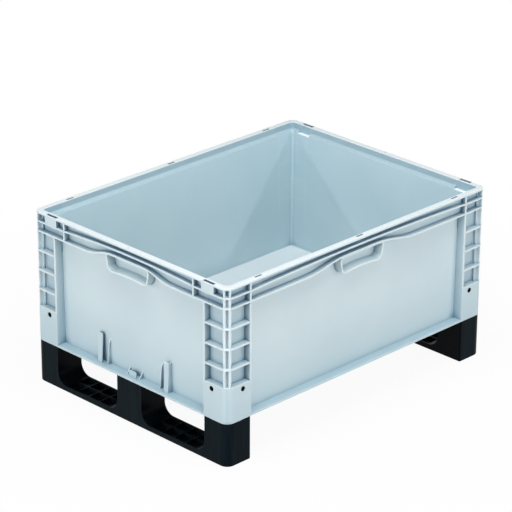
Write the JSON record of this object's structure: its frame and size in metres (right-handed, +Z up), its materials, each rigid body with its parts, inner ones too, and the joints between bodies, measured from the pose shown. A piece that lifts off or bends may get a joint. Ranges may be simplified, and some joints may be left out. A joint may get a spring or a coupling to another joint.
{
  "type": "plastic crate",
  "caption": "Open-top rectangular plastic container with ribbed corner columns, shell grips and card holders, standing on windowed runners that let lifting forks in.",
  "frame": {"origin": "on the ground, under the middle of the container", "axes": "+X along the long side, +Y along the short side, +Z up"},
  "size_m": [0.8, 0.6, 0.405],
  "materials": {
    "grey_polypropylene": "light blue-grey polypropylene, injection moulded, fine satin texture",
    "black_polypropylene": "black recycled polypropylene, injection moulded, satin"
  },
  "bodies": {
    "root": {"container_body": "grey_polypropylene", "runner_left": "black_polypropylene", "runner_right": "black_polypropylene", "pin_left_front_end": "black_polypropylene", "pin_left_front_side": "black_polypropylene", "pin_left_back_end": "black_polypropylene", "pin_left_back_side": "black_polypropylene", "pin_right_front_end": "black_polypropylene", "pin_right_front_side": "black_polypropylene", "pin_right_back_end": "black_polypropylene", "pin_right_back_side": "black_polypropylene"}
  },
  "joints": []
}
